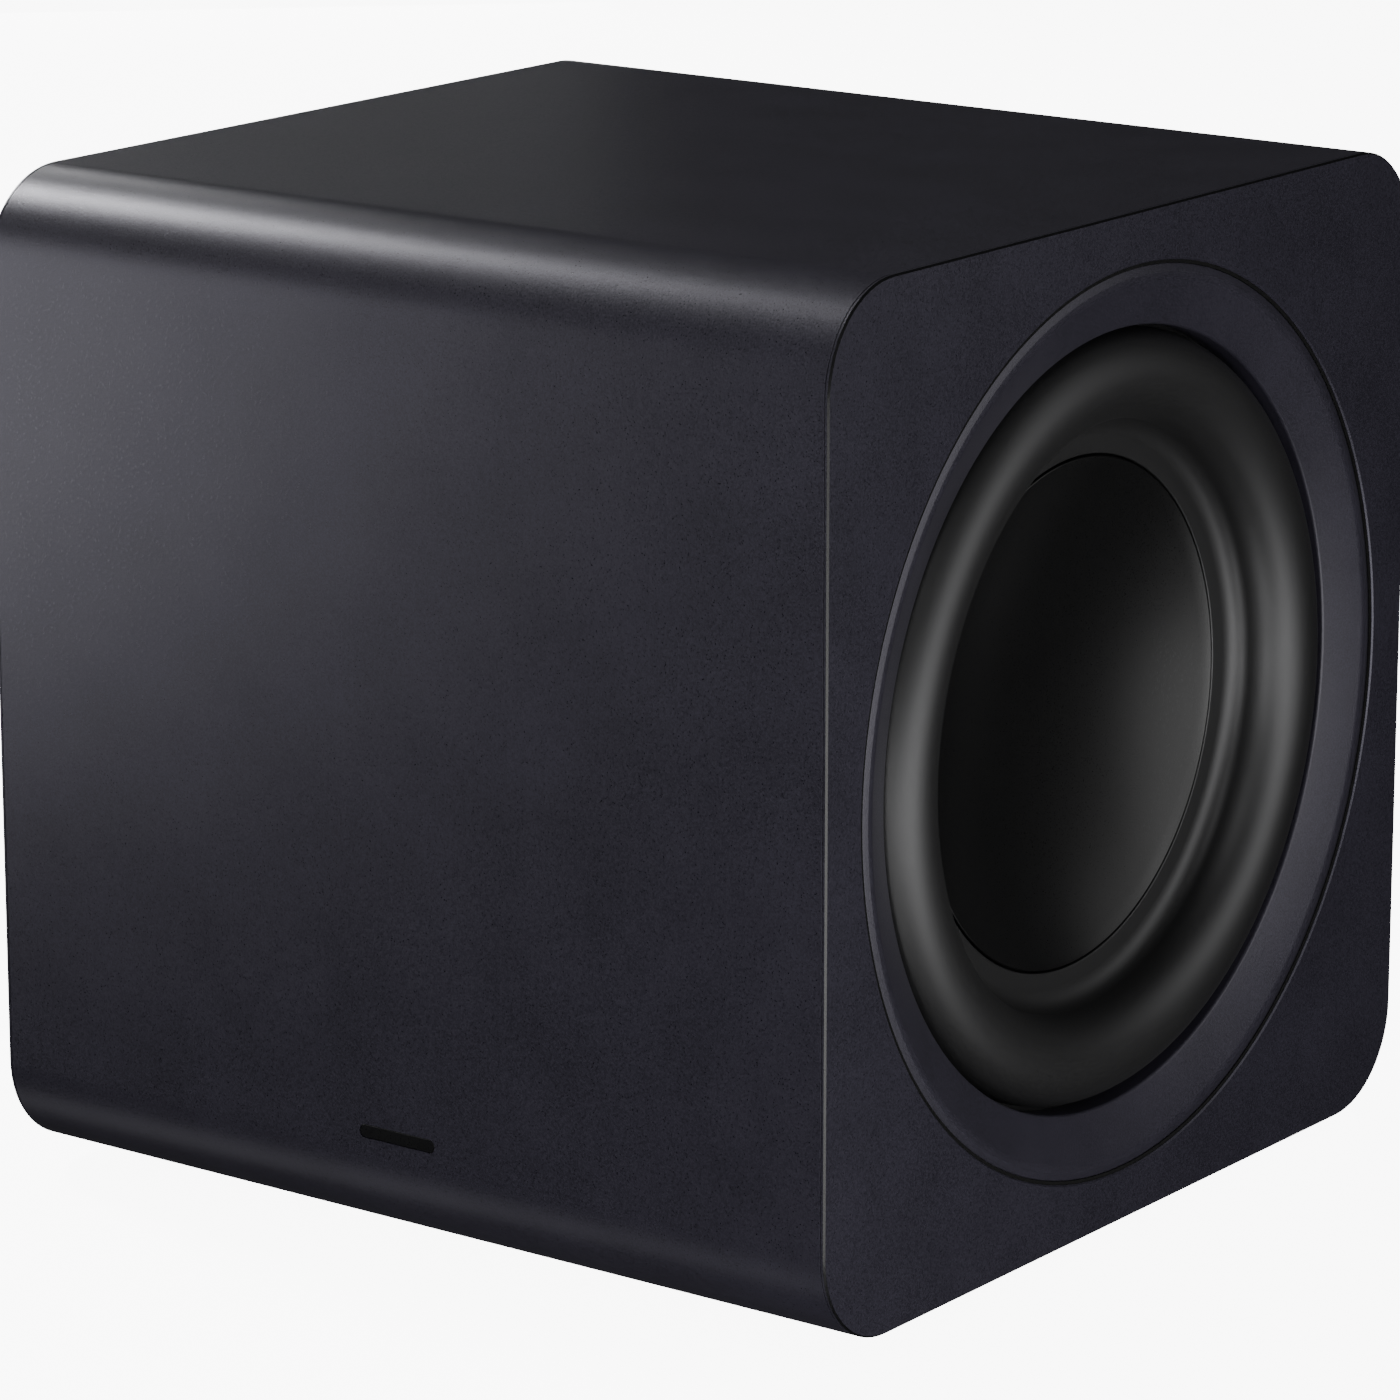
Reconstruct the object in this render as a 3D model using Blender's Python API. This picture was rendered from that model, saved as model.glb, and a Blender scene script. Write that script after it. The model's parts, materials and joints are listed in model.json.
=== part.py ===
"""Compact wireless subwoofer: a rounded cube with two opposed 8-inch drivers.

Units are metres and +Z is up. The front faces -Y, and the drivers fire along +X and -X.
The origin is on the floor, under the middle of the cabinet.

Each driver is modelled in a frame of its own: the origin is where the driver's axis meets the
outer face of its side panel, +X points out of the cabinet, and "depth" is measured inwards.
"""

import math

import bmesh
import bpy
from mathutils import Vector

# ---------------------------------------------------------------- driving dimensions
WIDTH = 0.249
DEPTH = 0.249
BODY_HEIGHT = 0.247
FOOT_HEIGHT = 0.0048
CORNER_RADIUS = 0.0248
WALL = 0.007
GAP = 0.0003                      # clearance between pieces that touch

HALF_WIDTH = WIDTH / 2
HALF_DEPTH = DEPTH / 2
HALF_HEIGHT = BODY_HEIGHT / 2
AXIS_Z = FOOT_HEIGHT + HALF_HEIGHT

CORNER_STEPS = 5                  # facets in a quarter turn of the cabinet's corners
RIM_SEGMENTS = 32                 # facets around the large rings
MOTOR_SEGMENTS = 20               # facets around the motor
SMALL_SEGMENTS = 8                # facets around screws, pins and buttons

# side panel (baffle) with its stepped opening
LIP_THICKNESS = 0.0009
LIP_OVERHANG = 0.003
PLUG_DEPTH = 0.007
EDGE_CHAMFER = 0.0005
RING_HOLE_RADIUS = 0.1109
RING_LEDGE_DEPTH = 0.0062
FLANGE_POCKET_RADIUS = 0.107
FLANGE_LEDGE_DEPTH = 0.0166
BASKET_HOLE_RADIUS = 0.0986
COLLAR_RADIUS = 0.114
COLLAR_DEPTH = 0.020

# driver
ROLL_CENTRE = 0.083               # radius to the middle of the surround's half roll
ROLL_RADIUS = 0.011
ROLL_BASE_DEPTH = 0.012
RUBBER = 0.0012
FILLET_CENTRE = 0.067
FILLET_RADIUS = 0.005
DISH_RADIUS = 0.0623
DISH_RIM_DEPTH = 0.017
DISH_SAG = 0.0154
DISH_THICKNESS = 0.0011
DRIVER_SCREW_CIRCLE = 0.103
DRIVER_SCREW_COUNT = 4
WINDOW_COUNT = 6

# rear panel and what it carries
REAR_CENTRE_Z = 0.100
REAR_HALF_WIDTH = 0.075
REAR_HALF_HEIGHT = 0.060
REAR_CORNER = 0.006
REAR_FLANGE = 0.007
REAR_THICKNESS = 0.003
REAR_OUTER_Y = HALF_DEPTH - GAP
REAR_INNER_Y = REAR_OUTER_Y - REAR_THICKNESS
GASKET_THICKNESS = 0.0006
REAR_LEDGE_Y = REAR_INNER_Y - GASKET_THICKNESS - 2 * GAP
REAR_SCREW_X = 0.0705
REAR_SCREW_Z = 0.0555
REAR_SCREW_SHANK = 0.0014
REAR_SCREW_HEAD = 0.0029
BOARD_OUTER_Y = 0.1061
BOARD_THICKNESS = 0.0016
BOARD_INNER_Y = BOARD_OUTER_Y - BOARD_THICKNESS
BOARD_HALF_WIDTH = 0.062
POST_RADIUS = 0.003
POST_X = 0.056
POST_Z = (-0.045, -0.006, 0.006, 0.045)
INLET_X = -0.036
INLET_Z = 0.070
INLET_PIN_SPACING = 0.0086
INLET_PIN_RADIUS = 0.0012
BUTTON_X = 0.032
BUTTON_Z = 0.138
BUTTON_RADIUS = 0.0032
BUTTON_TRAVEL = 0.0006
LIGHT_X = 0.046
LIGHT_RADIUS = 0.0015

# feet and badge
FOOT_X = 0.095
FOOT_Y = 0.080
FOOT_RADIUS = 0.010
FOOT_RECESS = 0.001
BADGE_HALF_LENGTH = 0.0114
BADGE_HALF_HEIGHT = 0.0016
BADGE_Z = FOOT_HEIGHT + 0.029
BADGE_THICKNESS = 0.0008

X_AXIS = Vector((1, 0, 0))
Y_AXIS = Vector((0, 1, 0))
Z_AXIS = Vector((0, 0, 1))


# ---------------------------------------------------------------- helpers
def clear_scene():
    for obj in list(bpy.data.objects):
        bpy.data.objects.remove(obj, do_unlink=True)


def make_material(name, colour, roughness, metallic=0.0):
    material = bpy.data.materials.new(name)
    material.use_nodes = True
    shader = material.node_tree.nodes["Principled BSDF"]
    shader.inputs["Base Color"].default_value = (*colour, 1.0)
    shader.inputs["Roughness"].default_value = roughness
    shader.inputs["Metallic"].default_value = metallic
    material.diffuse_color = (*colour, 1.0)
    return material


def make_empty(name, location, half_turned):
    """A frame; half turned about Z it is scaled by -1 along X and Y, which is exact."""
    empty = bpy.data.objects.new(name, None)
    empty.location = location
    if half_turned:
        empty.scale = (-1.0, -1.0, 1.0)
    bpy.context.collection.objects.link(empty)
    return empty


def finish_mesh(name, bm, material, parent=None, location=(0.0, 0.0, 0.0)):
    """Turn a bmesh into a named object with outward faces and crisp edges."""
    bmesh.ops.recalc_face_normals(bm, faces=bm.faces)
    mesh = bpy.data.meshes.new(name)
    bm.to_mesh(mesh)
    bm.free()
    mesh.shade_smooth()
    mesh.set_sharp_from_angle(angle=math.radians(35))
    mesh.materials.append(material)
    obj = bpy.data.objects.new(name, mesh)
    obj.location = location
    obj.parent = parent
    bpy.context.collection.objects.link(obj)
    return obj


def rounded_outline(half_u, half_v, radius, steps=CORNER_STEPS):
    """Points of a rounded rectangle centred on the origin."""
    corners = ((1, 1, 0.0), (-1, 1, 0.25), (-1, -1, 0.5), (1, -1, 0.75))
    points = []
    for sign_u, sign_v, turn in corners:
        for step in range(steps + 1):
            angle = math.tau * (turn + 0.25 * step / steps)
            u = sign_u * (half_u - radius) + radius * math.cos(angle)
            v = sign_v * (half_v - radius) + radius * math.sin(angle)
            points.append((u, v))
    return points


def in_space(axis, u, v, along):
    """A point of an outline drawn across an axis, at a place along that axis."""
    if axis is X_AXIS:
        return Vector((along, u, v))
    if axis is Y_AXIS:
        return Vector((u, along, v))
    return Vector((u, v, along))


def add_loft(bm, axis, sections):
    """Skin (outline, place along the axis) sections of equal point count, and cap both ends."""
    loops = [[bm.verts.new(in_space(axis, u, v, along)) for u, v in outline]
             for outline, along in sections]
    for near, far in zip(loops, loops[1:]):
        for index, vert in enumerate(near):
            bm.faces.new((near[index - 1], vert, far[index], far[index - 1]))
    bm.faces.new(loops[0])
    bm.faces.new(loops[-1])


def loft(name, axis, sections, material, parent=None):
    bm = bmesh.new()
    add_loft(bm, axis, sections)
    return finish_mesh(name, bm, material, parent)


def shifted(outline, centre):
    return [(u + centre[0], v + centre[1]) for u, v in outline]


def prism(name, axis, outline, start, end, material, parent=None, centre=(0.0, 0.0)):
    placed = shifted(outline, centre)
    return loft(name, axis, [(placed, start), (placed, end)], material, parent)


def block(name, low, high, material):
    """A box between two corners."""
    middle = ((low[0] + high[0]) / 2, (low[2] + high[2]) / 2)
    half_x = (high[0] - low[0]) / 2
    half_z = (high[2] - low[2]) / 2
    outline = [(half_x, half_z), (-half_x, half_z), (-half_x, -half_z), (half_x, -half_z)]
    return prism(name, Y_AXIS, outline, high[1], low[1], material, centre=middle)


def add_turned(bm, axis, profile, segments, offset=(0.0, 0.0, 0.0)):
    """Turn (radius, place along the axis) points about an axis through an offset point."""
    outward = Y_AXIS if axis is Z_AXIS else Z_AXIS
    start = Vector(offset)
    verts = [bm.verts.new(start + axis * along + outward * radius) for radius, along in profile]
    pairs = list(zip(verts, verts[1:]))
    if profile[0][0] > 0.0:
        pairs.append((verts[-1], verts[0]))
    edges = [bm.edges.new(pair) for pair in pairs]
    bmesh.ops.spin(bm, geom=verts + edges, cent=start, axis=axis,
                   angle=math.tau, steps=segments, use_merge=True)
    bmesh.ops.remove_doubles(bm, verts=bm.verts, dist=1e-6)


def turned(name, axis, profile, segments, material, parent=None, location=(0.0, 0.0, 0.0)):
    bm = bmesh.new()
    add_turned(bm, axis, profile, segments)
    return finish_mesh(name, bm, material, parent, location)


def turned_driver(name, profile, segments, material, parent):
    """Turn (radius, depth behind the panel face) points about the driver's axis."""
    local = [(radius, -depth) for radius, depth in profile]
    return turned(name, X_AXIS, local, segments, material, parent)


def arc(centre, radius, start, end, steps):
    """Points on an arc, as (radius from the axis, depth); angles in degrees."""
    points = []
    for step in range(steps + 1):
        angle = math.radians(start + (end - start) * step / steps)
        points.append((centre[0] + radius * math.cos(angle), centre[1] + radius * math.sin(angle)))
    return points


def combine(obj, tool, operation="DIFFERENCE"):
    """Cut a tool from an object, or join it on; the tool itself is only a guide."""
    modifier = obj.modifiers.new(tool.name, "BOOLEAN")
    modifier.operation = operation
    modifier.solver = "EXACT"
    modifier.object = tool
    tool.hide_render = True
    tool.display_type = "WIRE"


# ---------------------------------------------------------------- materials
def make_materials():
    return {
        "paint": make_material("charcoal_paint", (0.016, 0.015, 0.020), 0.45),
        "ring": make_material("ring_paint", (0.020, 0.019, 0.024), 0.45),
        "rubber": make_material("black_rubber", (0.008, 0.008, 0.008), 0.50),
        "cone": make_material("pressed_fibre", (0.010, 0.010, 0.010), 0.60),
        "badge": make_material("badge_black", (0.004, 0.004, 0.004), 0.35),
        "plastic": make_material("rear_plastic", (0.012, 0.012, 0.013), 0.50),
        "steel": make_material("zinc_steel", (0.55, 0.55, 0.56), 0.35, 1.0),
        "black_steel": make_material("black_steel", (0.02, 0.02, 0.02), 0.40, 1.0),
        "ferrite": make_material("ferrite", (0.05, 0.05, 0.05), 0.60),
        "copper": make_material("copper_wire", (0.72, 0.36, 0.18), 0.35, 1.0),
        "aluminium": make_material("aluminium", (0.60, 0.60, 0.62), 0.40, 1.0),
        "cloth": make_material("spider_cloth", (0.45, 0.30, 0.12), 0.80),
        "board": make_material("circuit_board", (0.02, 0.12, 0.05), 0.45),
        "light": make_material("light_pipe", (0.75, 0.75, 0.75), 0.20),
        "foam": make_material("gasket_foam", (0.02, 0.02, 0.02), 0.90),
        "sleeve": make_material("capacitor_sleeve", (0.02, 0.03, 0.06), 0.40),
        "brass": make_material("nickel_pin", (0.70, 0.68, 0.62), 0.25, 1.0),
        "brace": make_material("brace_plastic", (0.05, 0.05, 0.05), 0.60),
    }


# ---------------------------------------------------------------- cabinet
def cabinet_outline(inset):
    return rounded_outline(HALF_DEPTH - inset, HALF_HEIGHT - inset, CORNER_RADIUS - inset)


def make_cabinet(mats):
    """The wrapped body, a tube along X with a rebate at each end for the side panels."""
    ends = HALF_WIDTH - LIP_THICKNESS - GAP
    centre = (0.0, AXIS_Z)
    shell = prism("cabinet_shell", X_AXIS, cabinet_outline(0.0), -ends, ends, mats["paint"],
                  centre=centre)
    tunnel = prism("guide_tunnel", X_AXIS, cabinet_outline(WALL), -WIDTH, WIDTH, mats["paint"],
                   centre=centre)
    combine(shell, tunnel)
    rebate_floor = HALF_WIDTH - PLUG_DEPTH - GAP
    for side, sign in (("right", 1), ("left", -1)):
        rebate = prism(f"guide_rebate_{side}", X_AXIS, cabinet_outline(LIP_OVERHANG),
                       sign * rebate_floor, sign * WIDTH, mats["paint"], centre=centre)
        combine(shell, rebate)
    cut_rear_opening(shell, mats)
    badge_floor = HALF_DEPTH - BADGE_THICKNESS - GAP
    recess = prism("guide_badge", Y_AXIS, badge_outline(GAP), -badge_floor, -DEPTH, mats["paint"],
                   centre=(0.0, BADGE_Z))
    combine(shell, recess)
    for name, x, y in foot_places():
        socket = turned(f"guide_{name}", Z_AXIS, disc(FOOT_RADIUS + GAP, -WALL, FOOT_RECESS),
                        SMALL_SEGMENTS * 2, mats["paint"], location=(x, y, FOOT_HEIGHT))
        combine(shell, socket)
    return shell


def cut_rear_opening(shell, mats):
    """A stepped window for the rear panel, with pilot holes for its screws."""
    centre = (0.0, REAR_CENTRE_Z)
    step = prism("guide_rear_step", Y_AXIS,
                 rounded_outline(REAR_HALF_WIDTH + GAP, REAR_HALF_HEIGHT + GAP, REAR_CORNER, 4),
                 REAR_LEDGE_Y, DEPTH, mats["paint"], centre=centre)
    window = prism("guide_rear_window", Y_AXIS, rear_window_outline(), HALF_DEPTH - 3 * WALL,
                   REAR_OUTER_Y, mats["paint"], centre=centre)
    combine(shell, step)
    combine(shell, window)
    for index, (x, z) in enumerate(rear_screw_places(), start=1):
        hole = turned(f"guide_pilot_{index}", Y_AXIS,
                      disc(REAR_SCREW_SHANK + GAP, HALF_DEPTH - 3 * WALL, REAR_OUTER_Y),
                      SMALL_SEGMENTS, mats["paint"], location=(x, 0.0, z))
        combine(shell, hole)


def disc(radius, low, high):
    """Profile of a plain solid cylinder between two places on its axis."""
    return [(0.0, low), (radius, low), (radius, high), (0.0, high)]


def badge_outline(growth):
    radius = BADGE_HALF_HEIGHT + growth
    return rounded_outline(BADGE_HALF_LENGTH + growth, radius, radius, 4)


def make_badge(mats):
    """A plain pill-shaped inlay, low on the front."""
    prism("badge_inlay", Y_AXIS, badge_outline(0.0), -(HALF_DEPTH - BADGE_THICKNESS), -HALF_DEPTH,
          mats["badge"], centre=(0.0, BADGE_Z))


def foot_places():
    places = []
    for end, y in (("front", -FOOT_Y), ("rear", FOOT_Y)):
        for side, x in (("right", FOOT_X), ("left", -FOOT_X)):
            places.append((f"foot_{end}_{side}", x, y))
    return places


def make_feet(mats):
    top = FOOT_HEIGHT + FOOT_RECESS - GAP
    profile = [(0.0, 0.0), (0.0086, 0.0), (0.0094, 0.0008), (FOOT_RADIUS, top), (0.0, top)]
    for name, x, y in foot_places():
        turned(name, Z_AXIS, profile, SMALL_SEGMENTS * 2, mats["rubber"], location=(x, y, 0.0))


def make_brace(mats):
    """A window-frame partition between the two motors, clear of the electronics behind."""
    half_thickness = 0.003
    front = -(HALF_DEPTH - WALL - GAP)
    back = 0.066
    half_z = HALF_HEIGHT - WALL - GAP
    middle = (front + back) / 2
    outline = rounded_outline((back - front) / 2, half_z, CORNER_RADIUS - WALL, 4)
    brace = prism("centre_brace", X_AXIS, outline, -half_thickness, half_thickness, mats["brace"],
                  centre=(middle, AXIS_Z))
    hole = prism("guide_brace_hole", X_AXIS, rounded_outline(0.064, 0.088, 0.040, 4),
                 -WALL, WALL, mats["brace"], centre=(middle, AXIS_Z))
    combine(brace, hole)


# ---------------------------------------------------------------- side panel and trim ring
def make_side_panel(side, frame, mats):
    """Flat baffle: a thin flush lip, a plug inside the cabinet and a collar for the driver."""
    plug = cabinet_outline(LIP_OVERHANG + GAP)
    sections = [(cabinet_outline(EDGE_CHAMFER), 0.0), (cabinet_outline(0.0), -EDGE_CHAMFER),
                (cabinet_outline(0.0), -LIP_THICKNESS), (plug, -LIP_THICKNESS), (plug, -PLUG_DEPTH)]
    panel = loft(f"side_panel_{side}", X_AXIS, sections, mats["paint"], frame)
    collar = turned_driver(f"guide_collar_{side}", disc(COLLAR_RADIUS, PLUG_DEPTH / 2, COLLAR_DEPTH),
                           RIM_SEGMENTS, mats["paint"], frame)
    reach = COLLAR_DEPTH + WALL
    edge = RING_HOLE_RADIUS + EDGE_CHAMFER
    bore = turned_driver(
        f"guide_bore_{side}",
        [(0.0, -WALL), (edge + WALL, -WALL), (RING_HOLE_RADIUS, EDGE_CHAMFER),
         (RING_HOLE_RADIUS, RING_LEDGE_DEPTH), (FLANGE_POCKET_RADIUS, RING_LEDGE_DEPTH),
         (FLANGE_POCKET_RADIUS, FLANGE_LEDGE_DEPTH), (BASKET_HOLE_RADIUS, FLANGE_LEDGE_DEPTH),
         (BASKET_HOLE_RADIUS, reach), (0.0, reach)],
        RIM_SEGMENTS, mats["paint"], frame)
    combine(panel, collar, "UNION")
    combine(panel, bore)
    return panel


def make_trim_ring(side, frame, mats):
    """Bezel: a flat rim, a cone that falls towards the rubber, and an inner wall that clamps it."""
    profile = [(0.1072, 0.0003), (0.1099, 0.0003), (0.1104, 0.0008), (0.1104, 0.0059),
               (0.1078, 0.0059), (0.1078, 0.0030), (0.1062, 0.0030), (0.0972, 0.0066),
               (0.0972, 0.0120), (0.0950, 0.0120), (0.0950, 0.0056), (0.0953, 0.0051)]
    turned_driver(f"trim_ring_{side}", profile, RIM_SEGMENTS, mats["ring"], frame)


# ---------------------------------------------------------------- moving parts of the driver
def make_surround(side, frame, mats):
    """Rubber half roll between the basket's flange and the edge of the cone."""
    roll = (ROLL_CENTRE, ROLL_BASE_DEPTH)
    fillet = (FILLET_CENTRE, ROLL_BASE_DEPTH)
    flange_depth = ROLL_BASE_DEPTH + GAP
    inner_depth = ROLL_BASE_DEPTH + FILLET_RADIUS
    outer_edge = 0.0992
    inner_edge = DISH_RADIUS + 2 * GAP
    profile = [(outer_edge, flange_depth)]
    profile += arc(roll, ROLL_RADIUS, 0, -180, 5)
    profile += arc(fillet, FILLET_RADIUS, 45, 90, 1)
    profile += [(inner_edge, inner_depth), (inner_edge, inner_depth + RUBBER)]
    profile += arc(fillet, FILLET_RADIUS + RUBBER, 90, 45, 1)
    profile += arc(roll, ROLL_RADIUS - RUBBER, -180, 0, 5)
    profile += [(ROLL_CENTRE + ROLL_RADIUS - RUBBER, flange_depth + RUBBER)]
    profile += [(outer_edge, flange_depth + RUBBER)]
    turned_driver(f"surround_{side}", profile, RIM_SEGMENTS, mats["rubber"], frame)


def dish_depth(radius):
    """Depth of the dish's front face, a shallow part of a sphere."""
    sphere = (DISH_RADIUS ** 2 + DISH_SAG ** 2) / (2 * DISH_SAG)
    return DISH_RIM_DEPTH + DISH_SAG - (sphere - math.sqrt(sphere ** 2 - radius ** 2))


def make_dish(side, frame, mats):
    """The concave centre that closes the cone."""
    radii = [DISH_RADIUS * step / 4 for step in range(5)]
    front = [(radius, dish_depth(radius)) for radius in radii]
    back = [(radius, dish_depth(radius) + DISH_THICKNESS) for radius in reversed(radii)]
    turned_driver(f"dish_{side}", front + back, RIM_SEGMENTS, mats["cone"], frame)


def make_cone(side, frame, mats):
    """The stiff cone behind the dish, from the surround down to the voice coil."""
    profile = [(0.0710, 0.0185), (0.0710, 0.0206), (0.0616, 0.0206), (0.0276, 0.0506),
               (0.0264, 0.0506), (0.0264, 0.0492), (0.0604, 0.0196), (0.0632, 0.0196),
               (0.0632, 0.0185)]
    turned_driver(f"cone_{side}", profile, RIM_SEGMENTS, mats["cone"], frame)


def make_spider(side, frame, mats):
    """Corrugated cloth disc that centres the voice coil."""
    thickness = 0.0008
    crest, trough = 0.0564, 0.0589
    top = [(0.0264, trough), (0.0310, trough)]
    top += [(0.0370 + 0.0060 * wave, (crest, trough)[wave % 2]) for wave in range(4)]
    top += [(0.0640, trough)]
    under = [(radius, depth + thickness) for radius, depth in reversed(top)]
    turned_driver(f"spider_{side}", top + under, MOTOR_SEGMENTS, mats["cloth"], frame)


def make_voice_coil(side, frame, mats):
    former = [(0.0252, 0.0475), (0.0260, 0.0475), (0.0260, 0.0860), (0.0252, 0.0860)]
    winding = [(0.0263, 0.0690), (0.0276, 0.0690), (0.0276, 0.0850), (0.0263, 0.0850)]
    turned_driver(f"coil_former_{side}", former, MOTOR_SEGMENTS, mats["aluminium"], frame)
    turned_driver(f"voice_coil_{side}", winding, MOTOR_SEGMENTS, mats["copper"], frame)


# ---------------------------------------------------------------- fixed parts of the driver
def make_basket(side, frame, mats):
    """Pressed steel frame: flange, tapering wall with windows, spider ledge and motor seat."""
    profile = [(0.1060, 0.0138), (0.1060, 0.0163), (0.0980, 0.0163), (0.0980, 0.0225),
               (0.0685, 0.0615), (0.0635, 0.0737), (0.0300, 0.0737), (0.0300, 0.0712),
               (0.0575, 0.0712), (0.0575, 0.0600), (0.0652, 0.0600), (0.0943, 0.0215),
               (0.0943, 0.0138)]
    basket = turned_driver(f"basket_{side}", profile, RIM_SEGMENTS, mats["black_steel"], frame)
    window_near, window_far = 0.0285, 0.0550
    half_opening = 0.019
    square = [(half_opening, 0.115), (-half_opening, 0.115), (-half_opening, 0.052),
              (half_opening, 0.052)]
    bm = bmesh.new()
    for index in range(WINDOW_COUNT):
        turn = math.tau * (index + 0.5) / WINDOW_COUNT
        spun = [(u * math.cos(turn) - v * math.sin(turn), u * math.sin(turn) + v * math.cos(turn))
                for u, v in square]
        add_loft(bm, X_AXIS, [(spun, -window_far), (spun, -window_near)])
    windows = finish_mesh(f"guide_windows_{side}", bm, mats["black_steel"], frame)
    combine(basket, windows)
    return basket


def make_motor(side, frame, mats):
    top_plate = [(0.0284, 0.0740), (0.0520, 0.0740), (0.0520, 0.0800), (0.0284, 0.0800)]
    magnet = [(0.0330, 0.0803), (0.0550, 0.0803), (0.0560, 0.0813), (0.0560, 0.0973),
              (0.0550, 0.0983), (0.0330, 0.0983)]
    yoke = [(0.0060, 0.0745), (0.0246, 0.0745), (0.0246, 0.0986), (0.0540, 0.0986),
            (0.0540, 0.1036), (0.0530, 0.1046), (0.0060, 0.1046)]
    turned_driver(f"top_plate_{side}", top_plate, MOTOR_SEGMENTS, mats["steel"], frame)
    turned_driver(f"magnet_{side}", magnet, MOTOR_SEGMENTS, mats["ferrite"], frame)
    turned_driver(f"yoke_{side}", yoke, MOTOR_SEGMENTS, mats["steel"], frame)


def make_driver_screws(side, frame, mats, panel, basket):
    """Screws through the basket's flange into the panel's collar, hidden by the trim ring."""
    shank, head = 0.0019, 0.0032
    head_top, head_seat, tip = 0.0110, 0.0135, 0.0240
    screw = [(0.0, -head_top), (head, -head_top), (head, -head_seat), (shank, -head_seat),
             (shank, -tip), (0.0, -tip)]
    holes = bmesh.new()
    for index in range(DRIVER_SCREW_COUNT):
        turn = math.tau * (index + 0.5) / DRIVER_SCREW_COUNT
        place = (0.0, DRIVER_SCREW_CIRCLE * math.cos(turn), DRIVER_SCREW_CIRCLE * math.sin(turn))
        turned(f"driver_screw_{side}_{index + 1}", X_AXIS, screw, SMALL_SEGMENTS,
               mats["black_steel"], frame, place)
        add_turned(holes, X_AXIS, disc(shank + GAP, -tip - WALL, -head_seat), SMALL_SEGMENTS, place)
    drill = finish_mesh(f"guide_screws_{side}", holes, mats["black_steel"], frame)
    combine(basket, drill)
    combine(panel, drill)


def make_driver(side, sign, mats):
    """One driver with its panel, built in a frame whose +X points out of the cabinet."""
    frame = make_empty(f"driver_{side}_axis", (sign * HALF_WIDTH, 0.0, AXIS_Z), sign < 0)
    panel = make_side_panel(side, frame, mats)
    basket = make_basket(side, frame, mats)
    make_trim_ring(side, frame, mats)
    make_surround(side, frame, mats)
    make_dish(side, frame, mats)
    make_cone(side, frame, mats)
    make_spider(side, frame, mats)
    make_voice_coil(side, frame, mats)
    make_motor(side, frame, mats)
    make_driver_screws(side, frame, mats, panel, basket)


# ---------------------------------------------------------------- rear panel and its fittings
def rear_window_outline():
    return rounded_outline(REAR_HALF_WIDTH - REAR_FLANGE, REAR_HALF_HEIGHT - REAR_FLANGE,
                           REAR_CORNER, 4)


def rear_screw_places():
    return [(sign_x * REAR_SCREW_X, REAR_CENTRE_Z + sign_z * REAR_SCREW_Z)
            for sign_z in (1, -1) for sign_x in (1, -1)]


def make_rear_panel(mats):
    """Flush plate with posts for the boards and openings for the inlet, button and light."""
    centre = (0.0, REAR_CENTRE_Z)
    outline = rounded_outline(REAR_HALF_WIDTH, REAR_HALF_HEIGHT, REAR_CORNER, 4)
    panel = prism("rear_panel", Y_AXIS, outline, REAR_INNER_Y, REAR_OUTER_Y, mats["plastic"],
                  centre=centre)
    for row, z in enumerate(POST_Z):
        for column, x in enumerate((-POST_X, POST_X)):
            post = turned(f"guide_post_{row}_{column}", Y_AXIS,
                          disc(POST_RADIUS, BOARD_OUTER_Y + GAP, REAR_OUTER_Y - REAR_THICKNESS / 2),
                          SMALL_SEGMENTS, mats["plastic"], location=(x, 0.0, REAR_CENTRE_Z + z))
            combine(panel, post, "UNION")
    gasket = prism("rear_gasket", Y_AXIS, outline, REAR_LEDGE_Y + GAP,
                   REAR_LEDGE_Y + GAP + GASKET_THICKNESS, mats["foam"], centre=centre)
    window = prism("guide_gasket_window", Y_AXIS, rear_window_outline(), REAR_LEDGE_Y - WALL,
                   REAR_INNER_Y, mats["foam"], centre=centre)
    combine(gasket, window)
    make_rear_screws(mats, panel, gasket)
    return panel


def make_rear_screws(mats, panel, gasket):
    sink_y = REAR_OUTER_Y - 0.0016
    seat_y = sink_y + GAP
    head_y = REAR_OUTER_Y - 0.0001
    tip_y = HALF_DEPTH - WALL - 0.001
    clearance = REAR_SCREW_SHANK + GAP
    for index, (x, z) in enumerate(rear_screw_places(), start=1):
        profile = [(0.0, head_y), (REAR_SCREW_HEAD - GAP, head_y), (REAR_SCREW_HEAD, seat_y + GAP),
                   (REAR_SCREW_HEAD, seat_y), (REAR_SCREW_SHANK, seat_y),
                   (REAR_SCREW_SHANK, tip_y), (0.0, tip_y)]
        turned(f"rear_screw_{index}", Y_AXIS, profile, SMALL_SEGMENTS, mats["black_steel"],
               location=(x, 0.0, z))
        stepped = [(0.0, tip_y), (clearance, tip_y), (clearance, sink_y),
                   (REAR_SCREW_HEAD + GAP, sink_y), (REAR_SCREW_HEAD + GAP, DEPTH), (0.0, DEPTH)]
        hole = turned(f"guide_rear_screw_{index}", Y_AXIS, stepped, SMALL_SEGMENTS,
                      mats["black_steel"], location=(x, 0.0, z))
        combine(panel, hole)
        combine(gasket, hole)


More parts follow.
